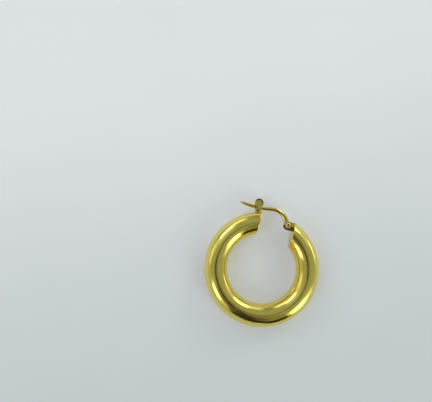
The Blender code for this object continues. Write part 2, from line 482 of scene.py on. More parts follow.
@dataclass
class Skin:
    """Points, faces and painted darkening of a mesh in millimetres, for staining and painted shade.
    """

    points: list[Vector] = field(default_factory=list)
    faces: list[tuple[int, ...]] = field(default_factory=list)
    stain_and_shade_values: list[float] = field(default_factory=list)
    dark: list[int] = field(default_factory=list)

    def loft(
        self,
        rings: Sequence[Ring],
        stain_and_shade_values: Sequence[float] | None = None,
        dark: int = 0,
        round_trip: bool = False,
    ) -> None:
        """Join rings of equally many points, and close both ends with a fan round their middle.

        Args:
            rings: Rings of points in order.
            stain_and_shade_values: How dark each ring is painted, from 0 to 1, for staining and
                painted shade.
            dark: Number of bands from the start that take the second material.
            round_trip: Whether the last ring joins the first, which leaves no ends.
        """
        base = len(self.points)
        count = len(rings[0])
        stains_and_shade = stain_and_shade_values or [0.0] * len(rings)
        for ring, stain_and_shade in zip(rings, stains_and_shade):
            self.points += ring
            self.stain_and_shade_values += [stain_and_shade] * count
        for band in range(len(rings) - (not round_trip)):
            low = base + band * count
            high = base + (band + 1) % len(rings) * count
            for side in range(count):
                after = (side + 1) % count
                if band < dark:
                    self.dark.append(len(self.faces))
                self.faces.append((low + side, low + after, high + after, high + side))
        if round_trip:
            return
        for end, flip in ((0, True), (len(rings) - 1, False)):
            middle = len(self.points)
            low = base + end * count
            self.points.append(sum(rings[end], Vector()) / count)
            self.stain_and_shade_values.append(stains_and_shade[end])
            for side in range(count):
                pair = (low + side, low + (side + 1) % count)
                if dark and flip:
                    self.dark.append(len(self.faces))
                self.faces.append((*(pair[::-1] if flip else pair), middle))

    def slab(self, outline: Sequence[Pair | Vector], low: float, high: float) -> None:
        """Extrude an outline of the hoop's plane between two heights."""
        self.loft([[Vector((*point[:2], height)) for point in outline] for height in (low, high)])

    def mesh(self, name: str) -> bpy.types.Mesh:
        """Turn the skin into a Blender mesh, still in millimetres.

        Args:
            name: The mesh's name.

        Returns:
            The mesh, with its faces outwards.
        """
        made = bpy.data.meshes.new(name)
        made.from_pydata([tuple(point) for point in self.points], [], self.faces)
        paint = made.attributes.new("seam", "FLOAT", "POINT")
        paint.data.foreach_set("value", np.array(self.stain_and_shade_values, np.float32))
        for index in self.dark:
            made.polygons[index].material_index = 1
        shell = bmesh.new()
        shell.from_mesh(made)
        bmesh.ops.recalc_face_normals(shell, faces=shell.faces)
        shell.to_mesh(made)
        shell.free()
        return made


def cast_in_one(
    skin: Skin, grain: float, rounding: int, stain_and_shade: Callable[[np.ndarray], np.ndarray]
) -> bpy.types.Mesh:
    """Melt overlapping solids into one with softened edges, and paint its staining and painted
    shade.

    Args:
        skin: The closed solids.
        grain: Size of the new faces.
        rounding: Number of smoothing passes.
        stain_and_shade: Gives the darkening from 0 to 1 for rows of x, y and z, from staining and
            painted shade.

    Returns:
        The new mesh, in millimetres.
    """
    mould = bpy.data.objects.new("mould", skin.mesh("mould"))
    bpy.context.scene.collection.objects.link(mould)
    melt = mould.modifiers.new("melt", "REMESH")
    melt.mode = "VOXEL"
    melt.voxel_size = grain
    soften = mould.modifiers.new("soften", "SMOOTH")
    soften.factor = 0.5
    soften.iterations = rounding
    graph = bpy.context.evaluated_depsgraph_get()
    made = bpy.data.meshes.new_from_object(mould.evaluated_get(graph))
    bpy.data.objects.remove(mould, do_unlink=True)
    places = np.zeros(len(made.vertices) * 3, np.float32)
    made.vertices.foreach_get("co", places)
    values = np.clip(stain_and_shade(places.reshape(-1, 3)), 0, 1).astype(np.float32)
    paint = made.attributes.get("seam") or made.attributes.new("seam", "FLOAT", "POINT")
    paint.data.foreach_set("value", values)
    return made


@dataclass
class Bench:
    """Where the hoop lies in the frame, and how finished meshes become pieces of it."""

    centre: Vector

    def piece(
        self,
        name: str,
        mesh: bpy.types.Mesh,
        body: Body,
        finishes: Iterable[bpy.types.Material],
    ) -> bpy.types.Object:
        """Place a mesh in the frame and let it ride on a body.

        Args:
            name: The piece's name.
            mesh: Mesh in millimetres from the ring's centre.
            body: Body that carries the piece.
            finishes: Materials in the order of the mesh's indices.

        Returns:
            The new object.
        """
        mesh.transform(Matrix.Translation(self.centre) @ Matrix.Scale(METRES, 4))
        mesh.shade_smooth()
        mesh.materials.clear()
        for finish in finishes:
            mesh.materials.append(finish)
        made = bpy.data.objects.new(name, mesh)
        mesh.name = name
        bpy.context.scene.collection.objects.link(made)
        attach(made, body.value)
        log.info("%s: %d points on body %s", name, len(mesh.vertices), body.value)
        return made


# Sub-assemblies


@dataclass
class HoopTube:
    """Hollow round tube bent into a ring, with a soldered cap in each end and a vent in one."""

    hoop_diameter: float = 25.0
    tube_diameter: float = 5.0
    end_gap: float = 7.55
    gap_offset: float = 0.67
    vent_diameter: float = 0.5
    vent_inset: float = 1.3
    vent_profile: tuple[Pair, ...] = (
        (0.75, 0.0),
        (0.375, 0.0),
        (0.08, 0.0),
        (0.035, 0.004),
        (0.010, 0.016),
        (-0.012, 0.040),
    )
    # Painted shade down the vent and round its lip, one value for each ring.
    vent_shade: tuple[float, ...] = (1.0, 1.0, 1.0, 0.9, 0.8, 0.7, 0.5, 0.3, 0.15)
    # Bands down in the vent that take the dark finish, as painted shade.
    vent_shade_bands: int = 3
    rim_radius: float = 0.12
    rim_steps: int = 8
    seam_inset: float = 0.19
    seam_width: float = 0.05
    seam_depth: float = 0.018
    seam_steps: int = 8
    cap_dome: float = 0.045
    cap_stain: float = 0.05
    cap_steps: int = 12
    vent_face_steps: int = 14
    steps: int = 380
    sides: int = 96

    @property
    def outer_radius(self) -> float:
        """Radius of the ring's outer edge."""
        return self.hoop_diameter / 2

    @property
    def tube_radius(self) -> float:
        """Radius of the tube's section."""
        return self.tube_diameter / 2

    @property
    def ring_radius(self) -> float:
        """Radius of the tube's middle line."""
        return self.outer_radius - self.tube_radius

    @property
    def hinge_face(self) -> float:
        """Distance of the hinge's end face from the ring's middle."""
        return self.end_gap / 2 + self.gap_offset

    @property
    def catch_face(self) -> float:
        """Distance of the catch's end face from the ring's middle."""
        return self.end_gap / 2 - self.gap_offset

    def surface_radius(self, height: float) -> float:
        """Distance of the tube's outer surface from the ring's axis at a height."""
        return self.ring_radius + math.sqrt(self.tube_radius**2 - height**2)

    def section(self, radius: float, hinge_inset: float, catch_inset: float, share: float) -> Ring:
        """One ring of points round the tube.

        Args:
            radius: Radius of the section.
            hinge_inset: How far behind the hinge's face the bend starts.
            catch_inset: How far behind the catch's face the bend ends.
            share: Share of the way from the hinge's end to the catch's end.

        Returns:
            Points of the ring.
        """
        ring = []
        for around in turns(self.sides):
            reach = self.ring_radius + radius * math.cos(around)
            start = math.asin((self.hinge_face + hinge_inset) / reach)
            stop = 2 * math.pi - math.asin((self.catch_face + catch_inset) / reach)
            turn = start + (stop - start) * share
            x, y = reach * math.sin(turn), reach * math.cos(turn)
            ring.append(Vector((x, y, radius * math.sin(around))))
        return ring

    def cap_profile(self) -> list[Triple]:
        """The cap's shape from near its middle out to the rim.

        Returns:
            Rows of section radius, inset behind the end face, and staining.
        """
        rows = []
        seam = self.tube_radius - self.seam_inset
        for step in range(1, self.cap_steps + 1):
            radius = (seam - self.seam_width) * step / self.cap_steps
            rows.append((radius, -self.cap_dome * (1 - (radius / seam) ** 2), self.cap_stain))
        for step in range(1, self.seam_steps + 1):
            across = step / self.seam_steps
            dip = math.sin(math.pi * across) ** 2
            radius = seam - self.seam_width * (1 - 2 * across)
            rows.append((radius, self.seam_depth * dip, 0.1 + 0.9 * dip))
        for step in range(self.rim_steps + 1):
            lean = step * math.pi / (2 * self.rim_steps)
            radius = self.tube_radius - self.rim_radius * (1 - math.sin(lean))
            stain_and_shade = 0.1 if step < 2 else 0.0
            rows.append((radius, self.rim_radius * (1 - math.cos(lean)), stain_and_shade))
        return rows

    def vent_rings(self, outer: Ring) -> list[Ring]:
        """Rings of the vent, and of the cap's face from its lip to an outer ring.

        Args:
            outer: The innermost ring of the cap's seam.

        Returns:
            Rings from the bottom outwards.
        """
        corner = math.sqrt((self.ring_radius - self.tube_radius) ** 2 - self.hinge_face**2)
        middle = Vector((self.hinge_face, corner + self.vent_inset, 0))
        radius = self.vent_diameter / 2
        ways = [Vector((0, p.y - middle.y, p.z)).normalized() for p in outer]
        rings = []
        for depth, widening in self.vent_profile:
            inwards = middle + Vector((depth, 0, 0))
            rings.append([inwards + way * (radius + widening) for way in ways])
        lip = rings[-1]
        cap_middle = math.sqrt(self.ring_radius**2 - self.hinge_face**2)
        dome_reach = (self.tube_radius - self.seam_inset) * 1.2
        for step in range(1, self.vent_face_steps):
            share = step / self.vent_face_steps
            ring = []
            for near, far in zip(lip, outer):
                point = near.lerp(far, share)
                off = math.hypot(point.y - cap_middle, point.z) / dome_reach
                rise = self.cap_dome * (1 - min(off, 1) ** 2) * min(3 * share, 1)
                point.x = self.hinge_face - rise
                ring.append(point)
            rings.append(ring)
        return rings

    def build(self, bench: Bench, finish: bpy.types.Material, vent_shade_finish: bpy.types.Material) -> None:
        """Loft the capped tube.

        Args:
            bench: Where the piece goes.
            finish: The tube's metal.
            vent_shade_finish: Dark finish inside the vent, as painted shade.
        """
        cap = self.cap_profile()
        outer_cap = cap[self.cap_steps :]
        hinge_side = [self.section(radius, inset, 0, 0) for radius, inset, _ in outer_cap]
        vent = self.vent_rings(hinge_side[0])
        rings = vent + hinge_side
        plain = len(vent) - len(self.vent_shade)
        stains_and_shade = [*self.vent_shade, *[self.cap_stain] * plain]
        stains_and_shade += [stain_and_shade for _, _, stain_and_shade in outer_cap]
        inset = self.rim_radius
        for step in range(1, self.steps):
            rings.append(self.section(self.tube_radius, inset, inset, step / self.steps))
            stains_and_shade.append(0.0)
        for radius, depth, stain_and_shade in reversed(cap):
            rings.append(self.section(radius, 0, depth, 1))
            stains_and_shade.append(stain_and_shade)
        skin = Skin()
        skin.loft(rings, stains_and_shade, dark=self.vent_shade_bands)
        tube = bench.piece("hoop_tube", skin.mesh("tube"), Body.HOOP, (finish, vent_shade_finish))
        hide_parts("hoop")


@dataclass
class EarWire:
    """Round wire from the hinge's eye over the gap, through the catch, to a flattened tip."""

    diameter: float = 0.9
    arch: float = 1.66
    tail: float = 3.9
    eye_diameter: float = 1.6
    eye_height: float = 0.873
    eye_edge: float = 0.07
    eye_clearance: float = 0.12
    # Painted shadow round the eye and painted shade where the wire lies in the catch.
    eye_shadow: float = 0.75
    eye_shadow_reach: float = 0.75
    seat_shade: float = 0.30
    seat_shade_reach: float = 0.8
    bore_diameter: float = 0.8
    span_steps: int = 14
    tip_steps: int = 6
    tip_bulge: float = 0.1
    sides: int = 32
    grain: float = 0.028
    rounding: int = 7
    route: tuple[Pair, ...] = (
        (0.00, 0.00),
        (0.12, 0.55),
        (0.23, 0.84),
        (0.37, 1.00),
        (0.51, 0.96),
        (0.63, 0.73),
        (0.76, 0.43),
        (0.87, 0.19),
        (1.00, 0.00),
    )
    tail_route: tuple[Pair, ...] = (
        (0.22, -0.020),
        (0.46, -0.016),
        (0.71, 0.000),
        (1.00, 0.020),
    )
    sections: tuple[Quad, ...] = (
        (0.000, 1.34, 0.93, 0.16),
        (0.100, 1.32, 0.95, 0.15),
        (0.180, 1.22, 0.97, 0.10),
        (0.270, 1.09, 1.00, 0.04),
        (0.360, 1.00, 1.00, 0.00),
        (0.720, 1.00, 1.00, 0.00),
        (0.840, 0.88, 0.86, 0.00),
        (0.950, 0.66, 0.62, 0.00),
        (1.000, 0.36, 0.40, 0.00),
    )

    def knots(self, hinge: Vector, seat: Vector) -> list[Vector]:
        """The chosen points of the wire's middle line.

        Args:
            hinge: The hinge's axis.
            seat: The wire's middle in the catch.

        Returns:
            Points from the hinge to the tip.
        """
        way = seat - hinge
        across = Vector((way.y, -way.x, 0)).normalized() * self.arch
        span = [hinge + way * along + across * rise for along, rise in self.route]
        tail = [Vector((-along, rise, 0)) * self.tail for along, rise in self.tail_route]
        return span + [seat + step for step in tail]

    def line(self, knots: Sequence[Vector]) -> list[Vector]:
        """Points on a smooth curve through the knots."""
        ends = [2 * knots[0] - knots[1], *knots, 2 * knots[-1] - knots[-2]]
        points = []
        for first, start, end, last in zip(ends, ends[1:], ends[2:], ends[3:]):
            for step in range(self.span_steps):
                share = step / self.span_steps
                back = 1 - share
                leave = start + (end - first) / 6
                arrive = end - (last - start) / 6
                points.append(
                    start * back**3
                    + leave * (3 * back**2 * share)
                    + arrive * (3 * back * share**2)
                    + end * share**3
                )
        return points + [knots[-1]]

    def section_at(self, share: float) -> Triple:
        """The section at a share of the wire's length.

        Args:
            share: Share of the wire's length.

        Returns:
            Half the width, half the height, and the shift towards the hoop's middle.
        """
        shares, *columns = zip(*self.sections)
        width, height, shift = (float(np.interp(share, shares, column)) for column in columns)
        radius = self.diameter / 2
        return width * radius, height * radius, shift * radius

    def sweep(self, skin: Skin, points: Sequence[Vector]) -> None:
        """Sweep the wire's oval section along its middle line, with a rounded tip.

        Args:
            skin: Skin to add to.
            points: The middle line.
        """
        lengths = np.cumsum([0.0] + [(b - a).length for a, b in zip(points, points[1:])])
        rings = []
        for index, point in enumerate(points):
            ahead = points[min(index + 1, len(points) - 1)] - points[max(index - 1, 0)]
            sideways = Vector((-ahead.y, ahead.x, 0)).normalized()
            width, height, shift = self.section_at(lengths[index] / lengths[-1])
            rings.append(self.oval(point + sideways * shift, sideways, width, height))
        forward = (points[-1] - points[-2]).normalized()
        sideways = Vector((-forward.y, forward.x, 0))
        width, height, _ = self.section_at(1.0)
        for step in range(1, self.tip_steps):
            lean = step * math.pi / (2 * self.tip_steps)
            tip = points[-1] + forward * (height * self.tip_bulge * math.sin(lean))
            shrink = math.cos(lean)
            rings.append(self.oval(tip, sideways, width * shrink, height * shrink))
        skin.loft(rings)

    def oval(self, middle: Vector, sideways: Vector, width: float, height: float) -> Ring:
        """An oval ring of points round a point of the middle line."""
        ring = []
        for around in turns(self.sides):
            rise = Vector((0, 0, math.sin(around) * height))
            ring.append(middle + (sideways * (math.cos(around) * width) + rise))
        return ring

    def build(self, bench: Bench, hinge: Vector, seat: Vector, finish: bpy.types.Material) -> None:
        """Sweep the wire, add its bored eye and melt them into one.

        Args:
            bench: Where the piece goes.
            hinge: The hinge's axis.
            seat: The wire's middle in the catch.
            finish: The wire's metal.
        """
        skin = Skin()
        points = self.line(self.knots(hinge, seat))
        bore = self.bore_diameter / 2
        self.sweep(skin, [p for p in points if (p - hinge).length > bore + self.eye_clearance])
        half = self.eye_height / 2
        plate = Plate(lambda way: self.eye_diameter / 2, bore, self.eye_edge, hinge)
        skin.loft(plate.rings(-half, half), round_trip=True)

        def stain_and_shade(places: np.ndarray) -> np.ndarray:
            """Painted shadow round the eye, where the ears shade it, and painted shade where the
            wire lies in the catch.
            """
            eye = fading(away(places, hinge.x, hinge.y), self.eye_shadow_reach, 4)
            shade_in_catch = fading(away(places, seat.x, seat.y), self.seat_shade_reach)
            return self.eye_shadow * eye + self.seat_shade * shade_in_catch

        mesh = cast_in_one(skin, self.grain, self.rounding, stain_and_shade)
        wire = bench.piece("ear_wire_piece", mesh, Body.EAR_WIRE, (finish,))
        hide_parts("ear_wire")


@dataclass
class Plate:
    """A flat plate with a round hole and rounded outer edges."""

    reach: Callable[[float], float]
    bore: float
    edge: float
    middle: Vector
    edge_steps: int = 4
    count: int = 96

    def rings(self, low: float, high: float) -> list[Ring]:
        """Rings that run round the plate's section.

        Args:
            low: Height of the plate's bottom.
            high: Height of the plate's top.

        Returns:
            Rings from the hole's bottom out, up and back in to the hole's top.
        """
        curve = []
        for step in range(self.edge_steps + 1):
            lean = step * math.pi / (2 * self.edge_steps)
            curve.append((-self.edge * (1 - math.sin(lean)), self.edge * (1 - math.cos(lean))))
        profile = [(offset, low + rise) for offset, rise in curve]
        profile += [(offset, high - rise) for offset, rise in reversed(curve)]
        return [
            self.ring(lambda way: self.bore, low),
            *[self.ring(lambda way: self.reach(way) + offset, at) for offset, at in profile],
            self.ring(lambda way: self.bore, high),
        ]

    def ring(self, reach: Callable[[float], float], height: float) -> Ring:
        """One ring, at a distance from the hole's middle that depends on the direction."""
        ring = []
        for way in turns(self.count):
            distance = reach(way)
            offset = Vector((distance * math.cos(way), distance * math.sin(way), height))
            ring.append(self.middle + offset)
        return ring


@dataclass
class Ears:
    """Two flat ears either side of a slot."""

    ear_thickness: float = 0.3
    slot_half: float = 0.5

    @property
    def outer(self) -> float:
        """Height of the ears' outer faces."""
        return self.slot_half + self.ear_thickness

    @property
    def layers(self) -> tuple[Pair, Pair]:
        """Lowest and highest height of each ear."""
        return (self.slot_half, self.outer), (-self.outer, -self.slot_half)

    def in_slot(self, places: np.ndarray, reach: float) -> np.ndarray:
        """1 inside the slot, and 0 beyond its reach in halves of the slot."""
        return np.clip(reach - np.abs(places[:, 2]) / self.slot_half, 0, 1)


@dataclass
class Hinge(Ears):
    """Two round ears on the tube's end, with a peened rivet through them."""

    setback: float = 1.29
    drop: float = 1.10
    width: float = 1.8
    sink: float = 0.1
    web: float = 0.1
    bore_diameter: float = 0.8
    rivet_diameter: float = 0.7
    head_diameter: float = 1.3
    head_height: float = 0.28
    head_seat: float = 0.82
    dimple_radius: float = 0.36
    dimple_depth: float = 0.15
    head_steps: int = 18
    head_edge: float = 0.05
    head_lift: float = 0.03
    rivet_sides: int = 64
    rivet_wobble: float = 0.012
    edge_rounding: float = 0.05
    fillet: float = 0.09
    fillet_sink: float = 0.05
    dome_powers: Pair = (3.2, 0.8)
    dimple_power: float = 1.4
    middle_hole: float = 0.004
    # Painted shade in the slot, a painted shadow ring round the rivet's head and a painted shadow
    # line on the ears' lower edge.
    slot_shade: float = 0.8
    slot_reach: float = 1.3
    solder_stain: float = 0.42
    solder_reach: float = 0.12
    rivet_shadow: float = 0.38
    rivet_reach: float = 0.09
    shadow_line_width: Pair = (0.24, 0.10)
    shadow_line_start: Pair = (-0.1, 0.3)
    grain: float = 0.026
    rounding: int = 4

    def axis(self, tube: HoopTube) -> Vector:
        """The hinge's axis in the ring's plane."""
        corner = math.sqrt(tube.outer_radius**2 - tube.hinge_face**2)
        return Vector((tube.hinge_face - self.setback, corner - self.drop, 0))

    def ear_reach(self, way: float) -> float:
        """Distance of the ear's outline from the axis in a direction."""
        half = self.width / 2
        if math.cos(way) <= 0:
            return half
        root = self.setback + self.sink
        side = abs(math.sin(way))
        return min(root / math.cos(way), half / side if side > 1e-9 else root)

    def build_ears(self, bench: Bench, tube: HoopTube, finish: bpy.types.Material) -> None:
        """Make both ears with their web and the solder along their root.

        Args:
            bench: Where the piece goes.
            tube: The tube that carries the ears.
            finish: The hoop's metal.
        """
        hinge = self.axis(tube)
        skin = Skin()
        plate = Plate(self.ear_reach, self.bore_diameter / 2, self.edge_rounding, hinge)
        for low, high in self.layers:
            skin.loft(plate.rings(low, high), round_trip=True)
        half = self.width / 2
        face = self.setback - self.web
        root = self.setback + self.sink
        outline = [(face, -half), (root, -half), (root, half), (face, half)]
        skin.slab([(hinge.x + x, hinge.y + y) for x, y in outline], -self.outer, self.outer)
        self.add_solder(skin, tube.hinge_face - self.fillet, hinge.y)

        def stain_and_shade(places: np.ndarray) -> np.ndarray:
            """Painted shade inside the slot, painted shadow round the rivet's head and along the
            ears' lower edge, and real staining along the solder.
            """
            solder = fading(places[:, 0] - tube.hinge_face, self.solder_reach)
            near_bore = away(places, hinge.x, hinge.y)
            ring = fading(near_bore - self.head_diameter / 2, self.rivet_reach)
            # Painted shadow line along the ears' lower edge, on one side only.
            inset, width = self.shadow_line_width
            shadow_line = ramp(near_bore, half - inset, width)
            shadow_line *= ramp(hinge.y - places[:, 1], *self.shadow_line_start)
            stained_and_shaded = self.slot_shade * self.in_slot(places, self.slot_reach)
            return stained_and_shaded + self.solder_stain * solder + self.rivet_shadow * ring + shadow_line

        mesh = cast_in_one(skin, self.grain, self.rounding, stain_and_shade)
        bench.piece("hinge_ears", mesh, Body.HOOP, (finish,))

    def add_solder(self, skin: Skin, start: float, middle: float) -> None:
        """Add the hollow fillet of solder between the ears' root and the cap.

        Args:
            skin: Skin to add to.
            start: Where the fillet's thin edge lies, along X.
            middle: The middle of the ears' root, along Y.
        """
        half = self.width / 2
        rings = []
        for spread, down in [(-0.03, -0.02), *fillet_rows(self.fillet, self.fillet_sink)]:
            edge = squared_ring(half + spread, self.outer + spread)
            rings.append([Vector((start + down, middle + along, height)) for along, height in edge])
        skin.loft(rings)

    def rivet_profile(self) -> list[Pair]:
        """Half of the rivet's outline, from its middle to the dimple in its head.

        Returns:
            Rows of radius and height.
        """
        head = self.head_diameter / 2
        shank = self.rivet_diameter / 2
        bulge, ease = self.dome_powers
        rows = [(shank, 0.0), (shank, self.head_seat), (head - self.head_edge, self.head_seat)]
        for step in range(self.head_steps + 1):
            radius = head * (1 - step / self.head_steps)
            dome = self.head_height * (1 - (radius / head) ** bulge) ** ease
            hollow = max(0.0, 1 - (radius / self.dimple_radius) ** 2) ** self.dimple_power
            height = self.head_seat + dome - self.dimple_depth * hollow
            height += 0.0 if step else self.head_lift
            rows.append((max(radius, self.middle_hole), height))
        return rows

    def build_rivet(self, bench: Bench, tube: HoopTube, finish: bpy.types.Material) -> None:
        """Turn the rivet round the hinge's axis.

        Args:
            bench: Where the piece goes.
            tube: The tube, which gives the axis.
            finish: The rivet's metal.
        """
        hinge = self.axis(tube)
        upper = self.rivet_profile()
        rings = []
        stains_and_shade = []
        for radius, height in [(radius, -height) for radius, height in upper[::-1]] + upper[1:]:
            wobble = self.rivet_wobble if radius > self.dimple_radius else 0.0
            ring = []
            for way in turns(self.rivet_sides):
                reach = radius * (1 + wobble * math.sin(3 * way + 1))
                ring.append(hinge + Vector((reach * math.cos(way), reach * math.sin(way), height)))
            rings.append(ring)
            # Painted shadow at the head's rim and painted shade in the dimple.
            edge = fading(radius - self.head_diameter / 2, 0.05)
            dimple_shade = min(1.0, 1.6 * max(0.0, 1 - radius / self.dimple_radius))
            stains_and_shade.append(min(1.0, 0.5 * edge + 0.9 * dimple_shade))
        skin = Skin()
        skin.loft(rings, stains_and_shade)
        rivet = bench.piece("rivet_piece", skin.mesh("rivet"), Body.HOOP, (finish,))
        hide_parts("hinge_rivet")


@dataclass
class Catch(Ears):
    """A forked catch on the tube, whose slot takes the ear wire."""

    setback: float = 0.86
    height: float = 2.82
    stem_width: float = 1.20
    head_width: float = 1.85
    head_depth: float = 1.50
    flare: float = 0.65
    floor: float = 0.5
    sink: float = 0.4
    wire_clearance: float = 0.10
    head_steps: int = 24
    fillet: float = 0.17
    fillet_sink: float = 0.12
    # Painted shade in the slot, along one side of the head's edge and in spots by the stem.
    slot_shade: float = 0.7
    slot_reach: float = 1.35
    slot_floor: float = 0.2
    foot_stain: float = 0.32
    foot_heat: Pair = (0.12, 0.22)
    shade_arc_width: Pair = (0.40, 0.12)
    shade_arc_side: Pair = (0.25, 0.97)
    shade_arc_share: Pair = (0.2, 1.9)
    shade_spots: tuple[Quad, ...] = (
        (-0.50, -1.08, 0.27, 1.10),
        (0.17, -1.84, 0.22, 0.80),
    )
    grain: float = 0.027
    rounding: int = 5

    def angle(self, tube: HoopTube) -> float:
        """Turn of the catch from the gap's middle towards the catch's side."""
        return math.asin((tube.catch_face + self.setback) / tube.outer_radius)

    def seat(self, tube: HoopTube, wire: EarWire) -> Vector:
        """The wire's middle in the catch."""
        turn = self.angle(tube)
        rest = tube.outer_radius + self.floor + self.wire_clearance + wire.diameter / 2
        return Vector((-math.sin(turn), math.cos(turn), 0)) * rest

    def placed(self, tube: HoopTube, along: float, out: float, height: float) -> Vector:
        """A point from its place along the tube, distance from the ring's axis and height."""
        turn = self.angle(tube)
        x = along * math.cos(turn) - out * math.sin(turn)
        return Vector((x, along * math.sin(turn) + out * math.cos(turn), height))

    def ear_outline(self, tube: HoopTube) -> list[Pair]:
        """One ear: a stem, and a round head that leans out over the gap.

        Returns:
            Rows of place along the tube and distance from the ring's axis.
        """
        half = self.stem_width / 2
        foot = tube.outer_radius - self.sink
        top = tube.outer_radius + self.height
        radius = self.head_width / 2
        sideways = radius - half
        low = top - self.head_depth
        outline = [(half, foot), (half, low - self.flare), (sideways + radius, low)]
        for step in range(self.head_steps + 1):
            way = math.pi * step / self.head_steps
            height = top - radius + radius * math.sin(way)
            outline.append((sideways + radius * math.cos(way), height))
        return outline + [(-half, foot)]

    def build(
        self,
        bench: Bench,
        tube: HoopTube,
        wire: EarWire,
        hinge: Vector,
        finish: bpy.types.Material,
    ) -> None:
        """Make the fork with the solder round its foot.

        Args:
            bench: Where the piece goes.
            tube: The tube that carries the catch.
            wire: The wire that the slot takes.
            hinge: The hinge's axis.
            finish: The hoop's metal.
        """
        seat = self.seat(tube, wire)
        knots = wire.knots(hinge, seat)
        place = len(wire.route) - 1
        along = (knots[place + 1] - knots[place - 1]).normalized()
        skin = Skin()
        plane = [self.placed(tube, *point, 0) for point in self.ear_outline(tube)]
        for low, high in self.layers:
            skin.slab(plane, low, high)
        normal = Vector((along.y, -along.x, 0))
        floor = seat + normal * (wire.diameter / 2 + self.wire_clearance)
        half = self.stem_width / 2
        foot = tube.outer_radius - self.sink
        corners = []
        for side in (-half, half):
            base = self.placed(tube, side, foot, 0)
            edge = self.placed(tube, side, tube.outer_radius, 0) - base
            corners.append(base)
            corners.append(base + edge * ((floor - base).dot(normal) / edge.dot(normal)))
        skin.slab([corners[index] for index in (0, 2, 3, 1)], -self.outer, self.outer)
        self.add_solder(skin, tube)
        head_radius = self.head_width / 2
        head_out = self.height - head_radius
        head = self.placed(tube, head_radius - half, tube.outer_radius + head_out, 0)

        def stain_and_shade(places: np.ndarray) -> np.ndarray:
            """Painted shade inside the slot, along one side of the head's outer edge and in two
            spots by the stem, and real staining by the solder's heat.
            """
            out = away(places, 0, 0) - tube.outer_radius
            in_slot = self.in_slot(places, self.slot_reach) * (out > self.slot_floor)
            middle, reach = self.foot_heat
            to_head = away(places, head.x, head.y)
            # Painted shade along one side of the head's outer edge.
            right, up = self.shade_arc_side
            across = right * (places[:, 0] - head.x) + up * (places[:, 1] - head.y)
            share, slope = self.shade_arc_share
            facing = np.clip(share + slope * across / np.maximum(to_head, 0.01), 0, 1)
            inset, width = self.shade_arc_width
            edge = ramp(to_head, head_radius - inset, width) * facing
            stained_and_shaded = self.slot_shade * in_slot + edge
            stained_and_shaded += self.foot_stain * fading(out - middle, reach)
            # Painted shade in two spots by the stem.
            for x, y, size, strength in self.shade_spots:
                stained_and_shaded += strength * fading(away(places, head.x + x, head.y + y), size)
            return stained_and_shaded

        mesh = cast_in_one(skin, self.grain, self.rounding, stain_and_shade)
        bench.piece("catch_fork", mesh, Body.HOOP, (finish,))

    def add_solder(self, skin: Skin, tube: HoopTube) -> None:
        """Add the hollow fillet of solder between the stem and the tube."""
        half = self.stem_width / 2
        rows = [(-0.06, -0.01), (-0.03, -0.01), *fillet_rows(self.fillet, self.fillet_sink)]
        rings = []
        for spread, down in rows:
            ring = []
            for along, height in squared_ring(half + spread, self.outer + spread):
                surface = math.sqrt(tube.surface_radius(height) ** 2 - along**2)
                ring.append(self.placed(tube, along, surface + self.fillet - down, height))
            rings.append(ring)
        skin.loft(rings)


# Studio


@dataclass(frozen=True)
class Panel:
    """A soft patch of light or shade in the surroundings, in degrees.

    Its azimuth runs clockwise from the photograph's upward direction, and its top and bottom are
    tilts down from straight up.
    """

    azimuth: float
    half_width: float
    top: float
    bottom: float
    glow: Colour
    side_blur: float = 6.0
    end_blur: float = 6.0


@dataclass(frozen=True)
class Spot:
    """A round soft patch of light or shade in the surroundings, in the same degrees."""

    azimuth: float
    tilt: float
    radius: float
    blur: float
    glow: Colour


def sky_direction(azimuth: float, tilt: float) -> Vector:
    """Unit vector of a direction.

    Args:
        azimuth: Degrees clockwise from the photograph's upward direction.
        tilt: Degrees down from straight up.

    Returns:
        The direction in the part's frame.
    """
    across = math.radians(azimuth) - PHOTO_TURN
    down = math.radians(tilt)
    level = math.sin(down)
    return Vector((level * math.sin(across), level * math.cos(across), math.cos(down)))


